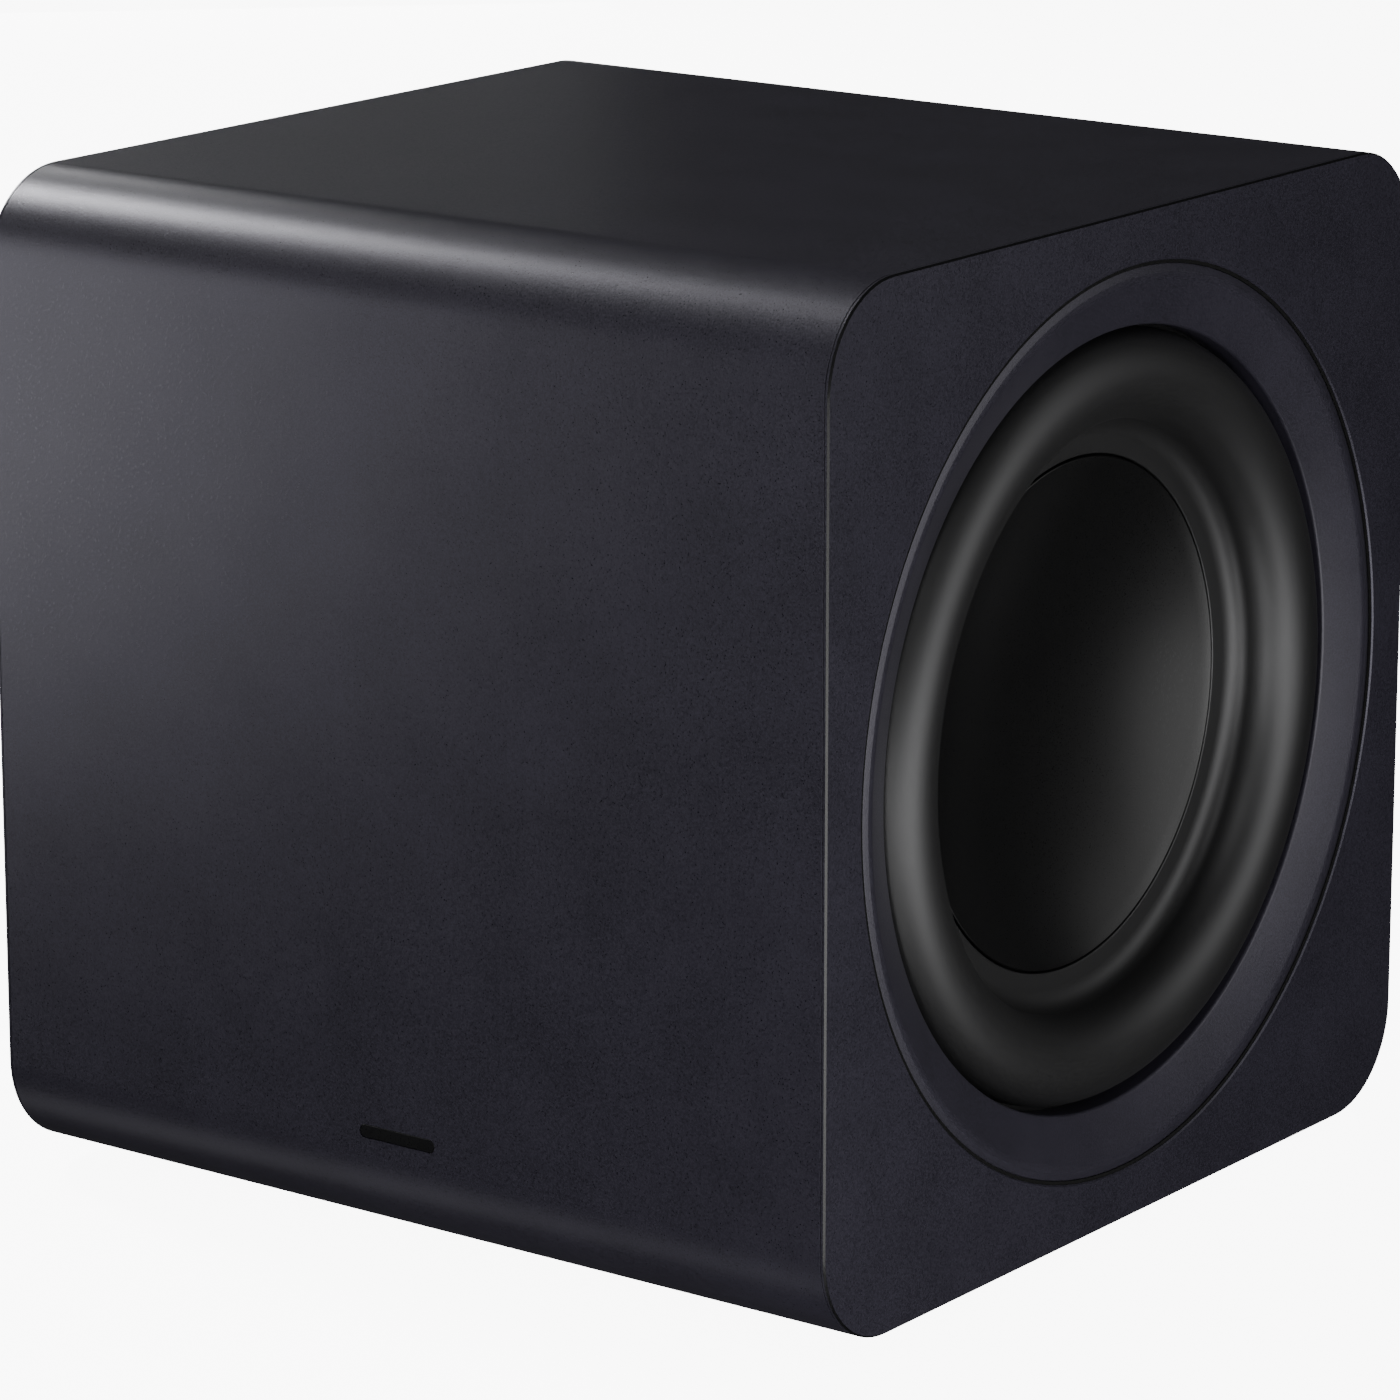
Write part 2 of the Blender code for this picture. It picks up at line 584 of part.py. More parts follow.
def make_power_inlet(mats, panel):
    """Two-pole mains socket, fitted from inside, with its pins in the cavity."""
    centre = (INLET_X, INLET_Z)
    nose = rounded_outline(0.0120, 0.0070, 0.0030, 3)
    opening = rounded_outline(0.0120 + GAP, 0.0070 + GAP, 0.0030 + GAP, 3)
    hole = prism("guide_inlet_hole", Y_AXIS, opening, REAR_INNER_Y - WALL, DEPTH,
                 mats["plastic"], centre=centre)
    combine(panel, hole)
    back_y = BOARD_OUTER_Y + 2 * GAP
    floor_y = 0.1110
    inlet = prism("power_inlet", Y_AXIS, nose, back_y, REAR_OUTER_Y, mats["plastic"],
                  centre=centre)
    flange = prism("guide_inlet_flange", Y_AXIS, rounded_outline(0.0150, 0.0100, 0.0030, 3),
                   REAR_INNER_Y - GAP - 0.003, REAR_INNER_Y - GAP, mats["plastic"], centre=centre)
    cavity = prism("guide_inlet_cavity", Y_AXIS, rounded_outline(0.0085, 0.0044, 0.0044, 4),
                   floor_y, DEPTH, mats["plastic"], centre=centre)
    combine(inlet, flange, "UNION")
    combine(inlet, cavity)
    for index, sign in enumerate((1, -1), start=1):
        x = INLET_X + sign * INLET_PIN_SPACING / 2
        profile = [(0.0, floor_y + GAP), (INLET_PIN_RADIUS, floor_y + GAP),
                   (INLET_PIN_RADIUS, 0.1215), (0.0007, 0.1222), (0.0, 0.1222)]
        turned(f"inlet_pin_{index}", Y_AXIS, profile, SMALL_SEGMENTS, mats["brass"],
               location=(x, 0.0, INLET_Z))


def make_button_and_light(mats, panel):
    """The wireless pairing button, the switch it presses, and the status light pipe."""
    switch_y = 0.1110
    flange_y = REAR_INNER_Y - GAP
    stem_y = switch_y + BUTTON_TRAVEL + GAP
    face_y = REAR_OUTER_Y - GAP
    stem, flange = 0.0015, 0.0048
    profile = [(0.0, face_y), (BUTTON_RADIUS - GAP, face_y), (BUTTON_RADIUS, face_y - GAP),
               (BUTTON_RADIUS, flange_y), (flange, flange_y), (flange, flange_y - 0.0015),
               (stem, flange_y - 0.0015), (stem, stem_y), (0.0, stem_y)]
    turned("pair_button", Y_AXIS, profile, SMALL_SEGMENTS * 2, mats["plastic"],
           location=(BUTTON_X, 0.0, BUTTON_Z))
    button_hole = turned("guide_button_hole", Y_AXIS,
                         disc(BUTTON_RADIUS + GAP, REAR_INNER_Y - WALL, DEPTH),
                         SMALL_SEGMENTS * 2, mats["plastic"], location=(BUTTON_X, 0.0, BUTTON_Z))
    combine(panel, button_hole)
    half = 0.003
    block("tact_switch", (BUTTON_X - half, BOARD_OUTER_Y + GAP, BUTTON_Z - half),
          (BUTTON_X + half, switch_y, BUTTON_Z + half), mats["steel"])
    turned("status_light_pipe", Y_AXIS, disc(LIGHT_RADIUS, BOARD_OUTER_Y + GAP, face_y),
           SMALL_SEGMENTS, mats["light"], location=(LIGHT_X, 0.0, BUTTON_Z))
    light_hole = turned("guide_light_hole", Y_AXIS,
                        disc(LIGHT_RADIUS + GAP, REAR_INNER_Y - WALL, DEPTH),
                        SMALL_SEGMENTS, mats["plastic"], location=(LIGHT_X, 0.0, BUTTON_Z))
    combine(panel, light_hole)


# ---------------------------------------------------------------- electronics
def make_boards(mats):
    edge = GAP * 2
    reach = REAR_HALF_HEIGHT - REAR_FLANGE - 0.003
    for name, low, high in (("amplifier_board", edge, reach), ("power_supply_board", -reach, -edge)):
        block(name, (-BOARD_HALF_WIDTH, BOARD_INNER_Y, REAR_CENTRE_Z + low),
              (BOARD_HALF_WIDTH, BOARD_OUTER_Y, REAR_CENTRE_Z + high), mats["board"])


def make_heat_sink(mats):
    """A comb-shaped extrusion along Z that cools the amplifier."""
    base_y = BOARD_INNER_Y - GAP
    plate_y = base_y - 0.004
    tip_y = base_y - 0.020
    left, pitch, fin, count = -0.052, 0.0076, 0.0022, 8
    right = left + pitch * (count - 1) + fin
    outline = [(right, base_y), (left, base_y)]
    for index in range(count):
        near = left + pitch * index
        if index:
            outline.append((near, plate_y))
        outline += [(near, tip_y), (near + fin, tip_y)]
        if index < count - 1:
            outline.append((near + fin, plate_y))
    prism("heat_sink", Z_AXIS, outline, REAR_CENTRE_Z + 0.012, REAR_CENTRE_Z + 0.042,
          mats["aluminium"])


def make_board_parts(mats):
    face_y = BOARD_INNER_Y - GAP
    block("transformer", (-0.046, face_y - 0.026, REAR_CENTRE_Z - 0.043),
          (-0.014, face_y, REAR_CENTRE_Z - 0.013), mats["ferrite"])
    block("radio_module", (0.022, face_y - 0.003, REAR_CENTRE_Z + 0.018),
          (0.048, face_y, REAR_CENTRE_Z + 0.036), mats["steel"])
    for index, x in enumerate((0.010, 0.032), start=1):
        profile = [(0.0, face_y - 0.028), (0.0082, face_y - 0.028), (0.009, face_y - 0.027),
                   (0.009, face_y), (0.0, face_y)]
        turned(f"capacitor_{index}", Y_AXIS, profile, SMALL_SEGMENTS, mats["sleeve"],
               location=(x, 0.0, REAR_CENTRE_Z - 0.028))


def make_speaker_cable(side, sign, mats):
    """Lead from the amplifier board to the driver's terminal on the basket."""
    route = [(0.054, 0.1030, 0.1465), (0.057, 0.0985, 0.1530), (0.062, 0.0930, 0.1640),
             (0.067, 0.0860, 0.1750), (0.072, 0.0770, 0.1840), (0.076, 0.0670, 0.1885),
             (0.078, 0.0600, 0.1875)]
    curve = bpy.data.curves.new(f"speaker_cable_{side}", "CURVE")
    curve.dimensions = "3D"
    curve.bevel_depth = 0.0016
    curve.bevel_resolution = 1
    curve.use_fill_caps = True
    spline = curve.splines.new("POLY")
    spline.points.add(len(route) - 1)
    for point, (x, y, z) in zip(spline.points, route):
        point.co = (sign * x, y, z, 1.0)
    curve.materials.append(mats["rubber"])
    cable = bpy.data.objects.new(f"speaker_cable_{side}", curve)
    bpy.context.collection.objects.link(cable)


def main():
    clear_scene()
    mats = make_materials()
    make_cabinet(mats)
    make_badge(mats)
    make_feet(mats)
    make_brace(mats)
    for side, sign in (("right", 1), ("left", -1)):
        make_driver(side, sign, mats)
        make_speaker_cable(side, sign, mats)
    rear_panel = make_rear_panel(mats)
    make_power_inlet(mats, rear_panel)
    make_button_and_light(mats, rear_panel)
    make_boards(mats)
    make_heat_sink(mats)
    make_board_parts(mats)


main()
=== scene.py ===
"""Looks of the compact wireless subwoofer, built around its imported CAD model.

Metres, +Z up, front towards -Y, drivers firing along +X and -X. Every visible shell, panel, ring
and rubber part, and the cloth spider of each driver, is rebuilt here with a smooth turned or lofted
mesh that stands for its CAD node. The other pieces inside keep their CAD shape. Every piece has a
procedural material.
"""

import json
import math

import bmesh
import bpy
import numpy as np
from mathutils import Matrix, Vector


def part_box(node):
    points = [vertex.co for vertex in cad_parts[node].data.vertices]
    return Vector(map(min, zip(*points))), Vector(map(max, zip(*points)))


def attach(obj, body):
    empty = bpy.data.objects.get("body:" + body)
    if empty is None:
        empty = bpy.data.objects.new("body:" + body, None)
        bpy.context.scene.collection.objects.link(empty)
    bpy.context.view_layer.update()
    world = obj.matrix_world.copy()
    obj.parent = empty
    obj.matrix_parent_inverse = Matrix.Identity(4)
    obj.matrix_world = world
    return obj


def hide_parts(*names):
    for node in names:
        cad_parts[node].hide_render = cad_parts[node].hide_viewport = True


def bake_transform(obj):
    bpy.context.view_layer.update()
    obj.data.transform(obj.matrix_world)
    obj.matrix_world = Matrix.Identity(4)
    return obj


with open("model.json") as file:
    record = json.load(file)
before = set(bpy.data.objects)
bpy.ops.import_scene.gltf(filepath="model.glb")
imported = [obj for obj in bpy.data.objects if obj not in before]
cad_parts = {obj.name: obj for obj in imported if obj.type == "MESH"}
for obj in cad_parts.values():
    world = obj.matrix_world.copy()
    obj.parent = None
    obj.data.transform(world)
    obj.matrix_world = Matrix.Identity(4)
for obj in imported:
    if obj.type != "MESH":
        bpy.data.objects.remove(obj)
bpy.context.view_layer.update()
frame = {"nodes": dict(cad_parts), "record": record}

# ---------------------------------------------------------------- places taken from the frame
SHELL_LOW, SHELL_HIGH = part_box("cabinet_shell")
REAR_LOW, REAR_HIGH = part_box("rear_panel")
INLET_LOW, INLET_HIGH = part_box("power_inlet")
BUTTON_LOW, BUTTON_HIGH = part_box("pair_button")
LIGHT_LOW, LIGHT_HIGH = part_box("status_light_pipe")
BADGE_LOW, BADGE_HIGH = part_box("badge_inlay")
REAR_SCREWS = [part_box(f"rear_screw_{index}") for index in range(1, 5)]
FEET = [f"foot_{end}_{side}" for end in ("front", "rear") for side in ("right", "left")]
SIDES = (("right", 1), ("left", -1))

FACE_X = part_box("side_panel_right")[1].x  # outer face of the right side panel
HALF_DEPTH = SHELL_HIGH.y
HALF_HEIGHT = (SHELL_HIGH.z - SHELL_LOW.z) / 2
AXIS_Z = (SHELL_HIGH.z + SHELL_LOW.z) / 2  # height of the drivers' axis

# ---------------------------------------------------------------- sizes that several pieces share
CORNER_RADIUS = 0.0248
WALL = 0.007
GAP = 0.0003  # between pieces that touch on the real object
OVERSHOOT = 0.007  # how far a cutter reaches past the face that it opens
PROUD = 0.0001  # how far the chamfered part of a cutter stands past that face
EDGE_MIDDLE = 0.3  # middle point of a two-step rounded edge, as a share of the edge's width

# fineness of the visible meshes
CORNER_STEPS = 32
TURN_STEPS = 256
SMALL_TURN_STEPS = 64
FILLET_STEPS = 6
SHARP_ANGLE = math.radians(32)


# ---------------------------------------------------------------- mesh helpers
def centre_xz(low, high):
    return (low.x + high.x) / 2, (low.z + high.z) / 2


def centre_xy(low, high):
    return (low.x + high.x) / 2, (low.y + high.y) / 2


def half_size_xz(low, high):
    return (high.x - low.x) / 2, (high.z - low.z) / 2


def grown(size, amount):
    """Every measure of a size plus the same amount."""
    return tuple(value + amount for value in size)


def quarter_turn(steps):
    """Angles from 0 to 90 degrees in equal steps, with both ends."""
    return [math.pi / 2 * step / steps for step in range(steps + 1)]


def add_object(name, data):
    obj = bpy.data.objects.new(name, data)
    bpy.context.scene.collection.objects.link(obj)
    return obj


def shade(obj, weighted=False):
    """Smooth shading with crisp edges; weighted normals keep large flats flat."""
    obj.data.shade_smooth()
    obj.data.set_sharp_from_angle(angle=SHARP_ANGLE)
    if weighted:
        modifier = obj.modifiers.new("flat_faces", "WEIGHTED_NORMAL")
        modifier.keep_sharp = True


def outward(mesh):
    """Point every face of a closed mesh out of it."""
    bm = bmesh.new()
    bm.from_mesh(mesh)
    bmesh.ops.recalc_face_normals(bm, faces=bm.faces)
    bm.to_mesh(mesh)
    bm.free()


def skin(name, loops, closed=True):
    """Quads between loops of equal length; closed joins the last loop to the first."""
    count = len(loops[0])
    verts = [tuple(point) for loop in loops for point in loop]
    pairs = list(zip(range(len(loops)), range(1, len(loops))))
    if closed:
        pairs.append((len(loops) - 1, 0))
    faces = []
    for near, far in pairs:
        for index in range(count):
            after = (index + 1) % count
            faces.append((near * count + index, near * count + after,
                          far * count + after, far * count + index))
    if not closed:
        faces.append(tuple(range(count)))
        faces.append(tuple(range((len(loops) - 1) * count, len(loops) * count)))
    mesh = bpy.data.meshes.new(name)
    mesh.from_pydata(verts, [], faces)
    outward(mesh)
    return add_object(name, mesh)


def rounded_section(half_u, half_v, radius, arc_steps, flat_steps=1):
    """Points round a rounded rectangle, with extra points along its straight sides."""
    corners = ((1, 1, 0.0), (-1, 1, 0.25), (-1, -1, 0.5), (1, -1, 0.75))
    arcs = []
    for sign_u, sign_v, turn in corners:
        centre = (sign_u * (half_u - radius), sign_v * (half_v - radius))
        arcs.append([(centre[0] + radius * math.cos(math.tau * (turn + 0.25 * step / arc_steps)),
                      centre[1] + radius * math.sin(math.tau * (turn + 0.25 * step / arc_steps)))
                     for step in range(arc_steps + 1)])
    points = []
    for index, arc_points in enumerate(arcs):
        points += arc_points
        start, end = Vector(arc_points[-1]), Vector(arcs[(index + 1) % 4][0])
        points += [tuple(start.lerp(end, step / flat_steps)) for step in range(1, flat_steps)]
    return points


def rounded_path(corners):
    """Closed path of (radius, depth, fillet radius) corners as (radius, depth) points."""
    path = []
    for index, (u, v, fillet) in enumerate(corners):
        here = Vector((u, v))
        back = (Vector(corners[index - 1][:2]) - here).normalized()
        ahead = (Vector(corners[(index + 1) % len(corners)][:2]) - here).normalized()
        half = back.angle(ahead) / 2
        centre = here + (back + ahead).normalized() * (fillet / math.sin(half))
        first = here + back * (fillet / math.tan(half))
        last = here + ahead * (fillet / math.tan(half))
        start = math.atan2(first.y - centre.y, first.x - centre.x)
        sweep = math.atan2(last.y - centre.y, last.x - centre.x) - start
        sweep = (sweep + math.pi) % math.tau - math.pi
        for step in range(FILLET_STEPS + 1):
            angle = start + sweep * step / FILLET_STEPS
            path.append((centre.x + fillet * math.cos(angle), centre.y + fillet * math.sin(angle)))
    return path


def arc(centre, radius, start, end, steps):
    """Points on an arc in (radius, depth), with angles in degrees."""
    angles = [math.radians(start + (end - start) * step / steps) for step in range(steps + 1)]
    return [(centre[0] + radius * math.cos(a), centre[1] + radius * math.sin(a)) for a in angles]


def circle(steps):
    """Cosine and sine of equal steps round a full turn."""
    angles = [math.tau * step / steps for step in range(steps)]
    return [(math.cos(a), math.sin(a)) for a in angles]


def turned_x(name, profile, sign, steps=TURN_STEPS, closed=True):
    """Turn (radius, depth behind the panel face) points about the driver's axis."""
    loops = [[(sign * (FACE_X - depth), radius * cos, AXIS_Z + radius * sin)
              for cos, sin in circle(steps)] for radius, depth in profile]
    return skin(name, loops, closed)


def turned_y(name, profile, centre, steps=SMALL_TURN_STEPS):
    """Turn (radius, y) points about an axis along Y through (x, z); both ends are capped."""
    loops = [[(centre[0] + radius * cos, y, centre[1] + radius * sin)
              for cos, sin in circle(steps)] for radius, y in profile]
    return skin(name, loops, closed=False)


def turned_z(name, profile, centre):
    """Turn (radius, z) points about an upright axis through (x, y); both ends are capped."""
    loops = [[(centre[0] + radius * cos, centre[1] + radius * sin, z)
              for cos, sin in circle(SMALL_TURN_STEPS)] for radius, z in profile]
    return skin(name, loops, closed=False)


def lofted_y(name, sections, centre, arc_steps=12):
    """Loft (half width, half height, corner radius, y) sections along Y, capped at both ends."""
    loops = []
    for half_u, half_v, radius, y in sections:
        outline = rounded_section(half_u, half_v, radius, arc_steps)
        loops.append([(centre[0] + u, y, centre[1] + v) for u, v in outline])
    return skin(name, loops, closed=False)


def apply_boolean(obj, tools, operation="DIFFERENCE"):
    """Cut or join tools one after another, keep the result and delete the tools."""
    for tool in tools:
        modifier = obj.modifiers.new("join_or_cut", "BOOLEAN")
        modifier.operation = operation
        modifier.solver = "EXACT"
        modifier.object = tool
        evaluated = obj.evaluated_get(bpy.context.evaluated_depsgraph_get())
        mesh = bpy.data.meshes.new_from_object(evaluated)
        obj.modifiers.remove(modifier)
        obj.data = mesh
        bpy.data.objects.remove(tool)


# ---------------------------------------------------------------- materials
PAINT_TINT = (0.88, 0.855, 1.0)
RING_TINT = (0.93, 0.91, 1.0)
RUBBER_TINT = (0.985, 0.985, 1.0)

BROAD_RATIO = 60.0  # size of the broad mottling, in grains
BROAD_SHARE = 0.25  # how much of it is added to the grain in the colour
COLOUR_STOPS = (0.45, 0.80)
ROUGHNESS_STOPS = (0.3, 0.7)

MATERIALS = {}


def new_material(name):
    material = bpy.data.materials.new(name)
    material.use_nodes = True
    return material, material.node_tree.nodes["Principled BSDF"]


def noise(tree, coordinates, scale, detail=2.0, roughness=0.5):
    node = tree.nodes.new("ShaderNodeTexNoise")
    node.inputs["Scale"].default_value = scale
    node.inputs["Detail"].default_value = detail
    node.inputs["Roughness"].default_value = roughness
    tree.links.new(coordinates, node.inputs["Vector"])
    return node.outputs["Fac"]


def ramp(tree, value, positions, colours):
    """Colour ramp between two colours at two positions."""
    node = tree.nodes.new("ShaderNodeValToRGB")
    for element, position, colour in zip(node.color_ramp.elements, positions, colours):
        element.position = position
        element.color = (*colour, 1.0)
    tree.links.new(value, node.inputs["Fac"])
    return node.outputs["Color"]


def add_surface(name, dark, light, roughness, spread, grain, bump, metallic=0.0, gloss=0.5,
                tint=(1.0, 1.0, 1.0)):
    """Fine-grained surface: colour, roughness and relief all follow grain of a size in metres."""
    material, shader = new_material(name)
    tree = material.node_tree
    place = tree.nodes.new("ShaderNodeTexCoord").outputs["Object"]
    fine = noise(tree, place, 1.0 / grain, detail=3.0, roughness=0.6)
    broad = noise(tree, place, 1.0 / (grain * BROAD_RATIO))
    mix = tree.nodes.new("ShaderNodeMath")
    mix.operation = "MULTIPLY_ADD"
    tree.links.new(broad, mix.inputs[0])
    mix.inputs[1].default_value = BROAD_SHARE
    tree.links.new(fine, mix.inputs[2])
    tree.links.new(ramp(tree, mix.outputs[0], COLOUR_STOPS, (dark, light)),
                   shader.inputs["Base Color"])
    greys = ((roughness - spread,) * 3, (roughness + spread,) * 3)
    tree.links.new(ramp(tree, fine, ROUGHNESS_STOPS, greys), shader.inputs["Roughness"])
    relief = tree.nodes.new("ShaderNodeBump")
    relief.inputs["Strength"].default_value = 1.0
    relief.inputs["Distance"].default_value = bump
    tree.links.new(fine, relief.inputs["Height"])
    tree.links.new(relief.outputs["Normal"], shader.inputs["Normal"])
    shader.inputs["Metallic"].default_value = metallic
    shader.inputs["Specular IOR Level"].default_value = gloss
    shader.inputs["Specular Tint"].default_value = (*tint, 1.0)
    MATERIALS[name] = material


# dark and light colour, then roughness, its spread, grain size and relief height
add_surface("charcoal_paint", (0.0100, 0.0092, 0.0136), (0.0250, 0.0231, 0.0333),
            0.33, 0.06, 0.00042, 0.000038, tint=PAINT_TINT)
add_surface("ring_paint", (0.0115, 0.0106, 0.0155), (0.0270, 0.0249, 0.0355),
            0.34, 0.06, 0.00042, 0.000038, tint=RING_TINT)
add_surface("black_rubber", (0.0025, 0.0025, 0.0026), (0.0053, 0.0053, 0.0054),
            0.47, 0.05, 0.00060, 0.000014, gloss=0.68, tint=RUBBER_TINT)
add_surface("pressed_fibre", (0.0014, 0.0014, 0.0015), (0.0036, 0.0036, 0.0038),
            0.31, 0.05, 0.00035, 0.000012, gloss=0.42)
add_surface("badge_black", (0.0020, 0.0020, 0.0024), (0.0035, 0.0035, 0.0040),
            0.30, 0.03, 0.00030, 0.000002)
add_surface("rear_plastic", (0.0080, 0.0080, 0.0086), (0.0180, 0.0180, 0.0190),
            0.50, 0.06, 0.00070, 0.000030)
add_surface("zinc_steel", (0.42, 0.42, 0.43), (0.62, 0.62, 0.63),
            0.34, 0.08, 0.00120, 0.000004, metallic=1.0)
add_surface("black_steel", (0.012, 0.012, 0.012), (0.024, 0.024, 0.025),
            0.38, 0.06, 0.00050, 0.000005)
add_surface("ferrite", (0.030, 0.030, 0.032), (0.060, 0.060, 0.064),
            0.60, 0.08, 0.00150, 0.000020)
add_surface("copper_wire", (0.45, 0.17, 0.07), (0.62, 0.27, 0.12),
            0.30, 0.06, 0.00040, 0.000020, metallic=1.0)
add_surface("aluminium", (0.50, 0.50, 0.52), (0.66, 0.66, 0.68),
            0.36, 0.06, 0.00080, 0.000005, metallic=1.0)
add_surface("spider_cloth", (0.20, 0.12, 0.035), (0.36, 0.24, 0.09),
            0.85, 0.05, 0.00090, 0.000080)
add_surface("circuit_board", (0.006, 0.045, 0.016), (0.010, 0.070, 0.026),
            0.36, 0.05, 0.00200, 0.000004)
add_surface("light_pipe", (0.55, 0.56, 0.57), (0.68, 0.69, 0.70),
            0.28, 0.05, 0.00050, 0.000002)
# kept near black and very rough so the filler in the gap round each trim ring paints that gap's
# shade
add_surface("gasket_foam", (0.004, 0.004, 0.004), (0.009, 0.009, 0.009),
            0.92, 0.04, 0.00060, 0.000060, gloss=0.08)
add_surface("capacitor_sleeve", (0.010, 0.013, 0.030), (0.018, 0.022, 0.045),
            0.32, 0.05, 0.00100, 0.000003)
add_surface("nickel_pin", (0.55, 0.53, 0.48), (0.68, 0.66, 0.60),
            0.20, 0.05, 0.00050, 0.000002, metallic=1.0)
add_surface("brace_plastic", (0.012, 0.012, 0.012), (0.026, 0.026, 0.026),
            0.55, 0.06, 0.00080, 0.000020)


def dress(obj, slot, body="enclosure", nodes=()):
    """Material, record slot, carrying body and the CAD nodes that the piece stands for."""
    obj.data.materials.clear()
    obj.data.materials.append(MATERIALS[slot])
    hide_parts(*nodes)
    if body:
        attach(obj, body)


# ---------------------------------------------------------------- cabinet
REAR_CENTRE = centre_xz(REAR_LOW, REAR_HIGH)
REAR_HALF = half_size_xz(REAR_LOW, REAR_HIGH)
REAR_CORNER = 0.006
REAR_FLANGE = 0.007
REAR_THICKNESS = 0.003
GASKET_ROOM = 0.0012

BADGE_CENTRE = centre_xz(BADGE_LOW, BADGE_HIGH)
BADGE_HALF = half_size_xz(BADGE_LOW, BADGE_HIGH)
BADGE_FIT = 0.0001


def section_at(x, inset, arc_steps=CORNER_STEPS, flat_steps=1):
    """Side-view outline of the cabinet at a place along X, inset from its surface."""
    outline = rounded_section(HALF_DEPTH - inset, HALF_HEIGHT - inset, CORNER_RADIUS - inset,
                              arc_steps, flat_steps)
    return [(x, u, AXIS_Z + v) for u, v in outline]


def rear_opening_tools():
    """Cutters for the recess of the rear panel, flared at the surface, and the window in it."""
    recess = (*grown(REAR_HALF, GAP), REAR_CORNER + GAP)
    flare = 0.0004
    mouth = grown(recess, flare)
    window = (*grown(REAR_HALF, -REAR_FLANGE), REAR_CORNER)
    return [
        lofted_y("tool_step", [
            (*recess, REAR_HIGH.y - REAR_THICKNESS - GASKET_ROOM), (*recess, HALF_DEPTH - flare),
            (*mouth, HALF_DEPTH), (*mouth, HALF_DEPTH + OVERSHOOT)], REAR_CENTRE),
        lofted_y("tool_window", [(*window, HALF_DEPTH - 2 * WALL), (*window, HALF_DEPTH - GAP)],
                 REAR_CENTRE)]


def badge_recess_tool():
    """Cutter for the pill-shaped recess that the badge lies in."""
    half_u, half_v = grown(BADGE_HALF, BADGE_FIT)
    return lofted_y("tool_badge", [(half_u, half_v, half_v, -HALF_DEPTH - OVERSHOOT),
                                   (half_u, half_v, half_v, BADGE_HIGH.y + GAP)], BADGE_CENTRE)


def foot_recess_tool(name):
    """Cutter for the round recess that a foot sits in."""
    low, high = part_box(name)
    radius = (high.x - low.x) / 2 + GAP
    return turned_z("tool_foot", [(radius, SHELL_LOW.z - OVERSHOOT), (radius, high.z + GAP)],
                    centre_xy(low, high))


def make_cabinet():
    """The seamless body: one loft along X, with openings for the rear panel, badge and feet."""
    end = SHELL_HIGH.x
    floor_x = FACE_X - WALL - GAP
    edge, lip = 0.0001, 0.003
    middle = edge * EDGE_MIDDLE
    sections = [(-end, edge), (-end + middle, middle), (-end + edge, 0.0),
                (end - edge, 0.0), (end - middle, middle), (end, edge),
                (end, lip), (floor_x, lip), (floor_x, WALL), (-floor_x, WALL), (-floor_x, lip),
                (-end, lip)]
    body = skin("cabinet_body", [section_at(x, inset) for x, inset in sections])
    apply_boolean(body, rear_opening_tools() + [badge_recess_tool()])
    apply_boolean(body, [foot_recess_tool(name) for name in FEET])
    shade(body, weighted=True)
    dress(body, "charcoal_paint", nodes=["cabinet_shell"])


def make_badge():
    """Plain pill inlay, slightly below the surface, with a soft edge."""
    half_u, half_v = BADGE_HALF
    front, edge = BADGE_LOW.y + BADGE_FIT, 0.0002
    pill = (half_u, half_v, half_v)
    badge = lofted_y("badge", [
        (*grown(pill, -edge), front),
        (*grown(pill, -edge * EDGE_MIDDLE), front + edge * EDGE_MIDDLE),
        (*pill, front + edge), (*pill, BADGE_HIGH.y)], BADGE_CENTRE, 16)
    shade(badge, weighted=True)
    dress(badge, "badge_black", nodes=["badge_inlay"])


# ---------------------------------------------------------------- side panels
# depths are behind the panel's face, radii are about the driver's axis
HOLE_RADIUS = 0.1109
HOLE_CHAMFER = 0.00035
RING_RADIUS = 0.1100
RING_LEDGE = 0.0062
POCKET_RADIUS = 0.107
POCKET_LEDGE = 0.0166
BORE_RADIUS = 0.0986
COLLAR_RADIUS = 0.114
COLLAR_DEPTH = 0.020
LIP = 0.0010
PLUG_INSET = 0.0033  # the panel's back is a smaller plug that fits in the cabinet's mouth
BEAD = 0.00046
BEAD_FIT = 0.00002  # clearance of the black edge strip and of the black gap filler, both painted shade at the seams


def panel_outline(sign, inset, depth):
    """Outline of a side panel, inset from its edge, at a depth behind its face."""
    return section_at(sign * (FACE_X - depth), inset, arc_steps=16, flat_steps=40)


def make_side_panel(side, sign):
    """Flat panel with a step for the black edge strip that paints the seam's shade, a round opening
    and a collar behind it.
    """
    angles = [math.atan2(z - AXIS_Z, y) for _, y, z in panel_outline(sign, 0.0, 0.0)]
    loops = [panel_outline(sign, inset, depth) for inset, depth in (
        (PLUG_INSET, LIP), (0.0, LIP), (0.0, BEAD), (BEAD, BEAD), (BEAD, 0.0))]
    for radius, depth in ((HOLE_RADIUS + HOLE_CHAMFER, 0.0), (HOLE_RADIUS, HOLE_CHAMFER),
                          (HOLE_RADIUS, RING_LEDGE), (POCKET_RADIUS, RING_LEDGE),
                          (POCKET_RADIUS, POCKET_LEDGE), (BORE_RADIUS, POCKET_LEDGE),
                          (BORE_RADIUS, COLLAR_DEPTH), (COLLAR_RADIUS, COLLAR_DEPTH),
                          (COLLAR_RADIUS, WALL)):
        x = sign * (FACE_X - depth)
        loops.append([(x, radius * math.cos(a), AXIS_Z + radius * math.sin(a)) for a in angles])
    loops.append(panel_outline(sign, PLUG_INSET, WALL))
    panel = skin(f"panel_{side}", loops)
    shade(panel, weighted=True)
    dress(panel, "charcoal_paint", nodes=[f"side_panel_{side}"])


